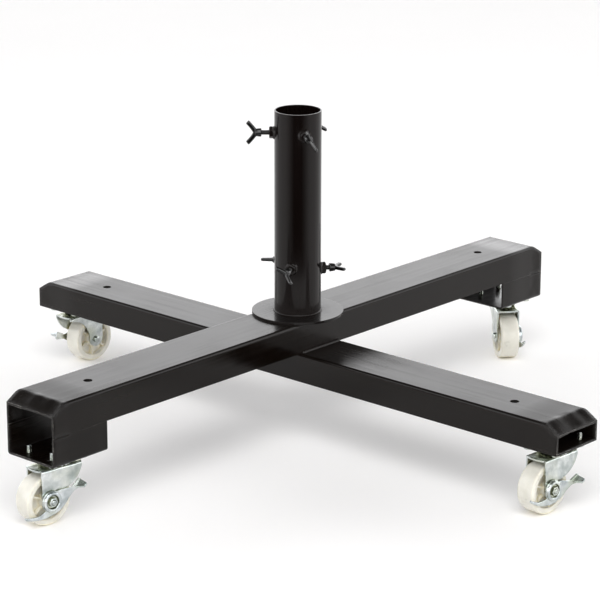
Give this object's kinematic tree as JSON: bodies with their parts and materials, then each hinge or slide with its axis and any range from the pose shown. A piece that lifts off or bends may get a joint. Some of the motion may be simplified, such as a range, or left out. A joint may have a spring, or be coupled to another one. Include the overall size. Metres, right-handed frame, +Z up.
{
  "type": "rolling tree stand",
  "caption": "Low rolling stand of crossed steel channels on swivel casters with brakes, with an upright tube and wing bolts that grip a trunk or pole.",
  "frame": {"origin": "middle of the base disc's top face, on the tube's axis, where the pole's foot stands", "axes": "+Z up along the tube, lower channel along X, upper channel along Y with its braked south end at -Y"},
  "size_m": [1.14, 1.2194, 0.542],
  "materials": {
    "black_gloss": "gloss black paint over welded sheet steel",
    "black_bolt": "black painted wing bolts",
    "zinc": "bright bluish zinc plate on stamped steel",
    "steel": "plain ground steel",
    "nylon": "cream, slightly translucent moulded plastic"
  },
  "bodies": {
    "frame": {"lower_beam": "black_gloss", "upper_beam": "black_gloss", "south_spacer": "black_gloss", "north_spacer": "black_gloss", "east_floor_plate": "black_gloss", "west_floor_plate": "black_gloss", "base_disc": "black_gloss", "pole_tube": "black_gloss", "tube_foot_weld": "black_gloss", "frame_welds": "black_gloss", "top_weld_nuts": "black_gloss", "low_weld_nuts": "black_gloss", "south_plate": "zinc", "south_mount_bolts": "zinc", "south_kingpin": "steel", "north_plate": "zinc", "north_mount_bolts": "zinc", "north_kingpin": "steel", "east_plate": "zinc", "east_mount_bolts": "zinc", "east_kingpin": "steel", "west_plate": "zinc", "west_mount_bolts": "zinc", "west_kingpin": "steel"},
    "south_swivel": {"south_fork": "zinc", "south_balls": "steel", "south_sleeve": "steel", "south_axle_bolt": "zinc", "south_axle_nut": "zinc"},
    "south_wheel_body": {"south_wheel": "nylon"},
    "south_brake": {"south_brake_lever": "zinc"},
    "north_swivel": {"north_fork": "zinc", "north_balls": "steel", "north_sleeve": "steel", "north_axle_bolt": "zinc", "north_axle_nut": "zinc"},
    "north_wheel_body": {"north_wheel": "nylon"},
    "north_brake": {"north_brake_lever": "zinc"},
    "east_swivel": {"east_fork": "zinc", "east_balls": "steel", "east_sleeve": "steel", "east_axle_bolt": "zinc", "east_axle_nut": "zinc"},
    "east_wheel_body": {"east_wheel": "nylon"},
    "east_brake": {"east_brake_lever": "zinc"},
    "west_swivel": {"west_fork": "zinc", "west_balls": "steel", "west_sleeve": "steel", "west_axle_bolt": "zinc", "west_axle_nut": "zinc"},
    "west_wheel_body": {"west_wheel": "nylon"},
    "west_brake": {"west_brake_lever": "zinc"},
    "top_a_bolt": {"top_wing_bolt_a": "black_bolt"},
    "top_b_bolt": {"top_wing_bolt_b": "black_bolt"},
    "top_c_bolt": {"top_wing_bolt_c": "black_bolt"},
    "low_a_bolt": {"low_wing_bolt_a": "black_bolt"},
    "low_b_bolt": {"low_wing_bolt_b": "black_bolt"},
    "low_c_bolt": {"low_wing_bolt_c": "black_bolt"}
  },
  "joints": [
    {"name": "south_swivel_turn", "type": "hinge", "parent": "frame", "child": "south_swivel", "pos_m": [0, -0.5435, -0.11375], "axis": [0, 0, 1], "continuous": true},
    {"name": "south_wheel_spin", "type": "hinge", "parent": "south_swivel", "child": "south_wheel_body", "pos_m": [-0.00348, -0.56826, -0.1675], "axis": [-0.9903, 0.1392, 0], "continuous": true},
    {"name": "south_brake_tilt", "type": "hinge", "parent": "south_swivel", "child": "south_brake", "pos_m": [-0.00348, -0.56826, -0.1675], "axis": [0.9903, -0.1392, 0], "range_deg": [-26, 2]},
    {"name": "north_swivel_turn", "type": "hinge", "parent": "frame", "child": "north_swivel", "pos_m": [0, 0.551, -0.11375], "axis": [0, 0, 1], "continuous": true},
    {"name": "north_wheel_spin", "type": "hinge", "parent": "north_swivel", "child": "north_wheel_body", "pos_m": [0.0197, 0.53561, -0.1675], "axis": [-0.6157, -0.788, 0], "continuous": true},
    {"name": "north_brake_tilt", "type": "hinge", "parent": "north_swivel", "child": "north_brake", "pos_m": [0.0197, 0.53561, -0.1675], "axis": [0.6157, 0.788, 0], "range_deg": [-4, 24]},
    {"name": "east_swivel_turn", "type": "hinge", "parent": "frame", "child": "east_swivel", "pos_m": [0.527, 0, -0.11375], "axis": [0, 0, 1], "continuous": true},
    {"name": "east_wheel_spin", "type": "hinge", "parent": "east_swivel", "child": "east_wheel_body", "pos_m": [0.52526, -0.02494, -0.1675], "axis": [-0.9976, 0.0698, 0], "continuous": true},
    {"name": "east_brake_tilt", "type": "hinge", "parent": "east_swivel", "child": "east_brake", "pos_m": [0.52526, -0.02494, -0.1675], "axis": [0.9976, -0.0698, 0], "range_deg": [-12, 16]},
    {"name": "west_swivel_turn", "type": "hinge", "parent": "frame", "child": "west_swivel", "pos_m": [-0.527, 0, -0.11375], "axis": [0, 0, 1], "continuous": true},
    {"name": "west_wheel_spin", "type": "hinge", "parent": "west_swivel", "child": "west_wheel_body", "pos_m": [-0.52569, 0.02497, -0.1675], "axis": [0.9986, -0.0523, 0], "continuous": true},
    {"name": "west_brake_tilt", "type": "hinge", "parent": "west_swivel", "child": "west_brake", "pos_m": [-0.52569, 0.02497, -0.1675], "axis": [-0.9986, 0.0523, 0], "range_deg": [-16, 12]},
    {"name": "top_a_screw", "type": "slide", "parent": "frame", "child": "top_a_bolt", "axis": [-0.2756, 0.9613, 0], "range_m": [-0.0089, 0.0037]},
    {"name": "top_b_screw", "type": "slide", "parent": "frame", "child": "top_b_bolt", "axis": [-0.7431, -0.6691, 0], "range_m": [-0.0121, 0.0005]},
    {"name": "top_c_screw", "type": "slide", "parent": "frame", "child": "top_c_bolt", "axis": [0.848, -0.5299, 0], "range_m": [-0.0112, 0.0014]},
    {"name": "low_a_screw", "type": "slide", "parent": "frame", "child": "low_a_bolt", "axis": [0.5878, 0.809, 0], "range_m": [-0.0058, 0.006]},
    {"name": "low_b_screw", "type": "slide", "parent": "frame", "child": "low_b_bolt", "axis": [-0.9848, 0.1736, 0], "range_m": [-0.0058, 0.006]},
    {"name": "low_c_screw", "type": "slide", "parent": "frame", "child": "low_c_bolt", "axis": [0.4384, -0.8988, 0], "range_m": [-0.0121, 0.0005]}
  ]
}
